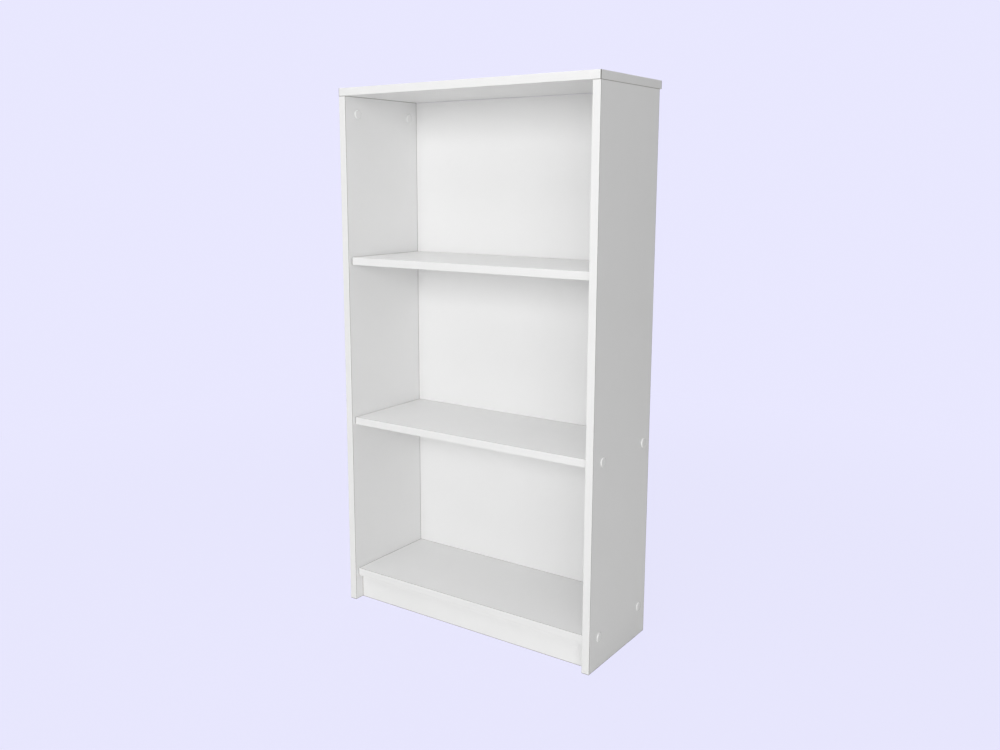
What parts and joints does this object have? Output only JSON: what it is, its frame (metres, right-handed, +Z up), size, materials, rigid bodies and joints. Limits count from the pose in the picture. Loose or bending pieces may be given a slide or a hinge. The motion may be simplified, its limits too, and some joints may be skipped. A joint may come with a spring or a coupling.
{
  "type": "bookcase",
  "caption": "Tall narrow open bookcase in white melamine-faced board, with equal compartments, a loose upper shelf, a recessed plinth and round cover caps over its fittings.",
  "frame": {"origin": "on the floor, under the middle of the bookcase's box", "axes": "+Z up, +X to the right along the front, +Y from the open front to the back panel"},
  "size_m": [0.5844, 0.23, 1.06],
  "materials": {
    "white_board": "satin white melamine foil on chipboard",
    "white_edging": "satin",
    "hardboard": "white paint in front, raw brown fibre behind",
    "cap_plastic": "semi-gloss moulded",
    "zinc_diecast": "tumbled zinc alloy",
    "plated_steel": "bright zinc plate",
    "nail_steel": "plain wire nail",
    "beech": "raw beech"
  },
  "bodies": {
    "carcass": {"top_panel": "white_board", "left_side_panel": "white_board", "right_side_panel": "white_board", "middle_shelf": "white_board", "bottom_shelf": "white_board", "plinth": "white_board", "top_front_edging": "white_edging", "top_left_edging": "white_edging", "top_right_edging": "white_edging", "left_side_edging": "white_edging", "right_side_edging": "white_edging", "middle_shelf_edging": "white_edging", "bottom_shelf_edging": "white_edging", "back_panel": "hardboard", "screw_cover_caps": "cap_plastic", "cam_bolts": "plated_steel", "confirmat_screws": "plated_steel", "shelf_pins": "plated_steel", "back_panel_nails": "nail_steel", "top_dowels": "beech", "plinth_end_dowels": "beech", "plinth_top_dowels": "beech"},
    "loose_shelf": {"upper_shelf": "white_board", "upper_shelf_edging": "white_edging"},
    "cam_left_front": {"cam_lock_left_front": "zinc_diecast", "cam_cap_left_front": "cap_plastic"},
    "cam_left_rear": {"cam_lock_left_rear": "zinc_diecast", "cam_cap_left_rear": "cap_plastic"},
    "cam_right_front": {"cam_lock_right_front": "zinc_diecast", "cam_cap_right_front": "cap_plastic"},
    "cam_right_rear": {"cam_lock_right_rear": "zinc_diecast", "cam_cap_right_rear": "cap_plastic"}
  },
  "joints": [
    {"name": "upper_shelf_draw", "type": "slide", "parent": "carcass", "child": "loose_shelf", "axis": [0, -1, 0], "range_m": [0, 0.24]},
    {"name": "cam_left_front_turn", "type": "hinge", "parent": "carcass", "child": "cam_left_front", "pos_m": [-0.275, -0.078, 1.011], "axis": [-1, 0, 0], "range_deg": [0, 180]},
    {"name": "cam_left_rear_turn", "type": "hinge", "parent": "carcass", "child": "cam_left_rear", "pos_m": [-0.275, 0.082, 1.011], "axis": [-1, 0, 0], "range_deg": [0, 180]},
    {"name": "cam_right_front_turn", "type": "hinge", "parent": "carcass", "child": "cam_right_front", "pos_m": [0.275, -0.078, 1.011], "axis": [-1, 0, 0], "range_deg": [0, 180]},
    {"name": "cam_right_rear_turn", "type": "hinge", "parent": "carcass", "child": "cam_right_rear", "pos_m": [0.275, 0.082, 1.011], "axis": [-1, 0, 0], "range_deg": [0, 180]}
  ]
}
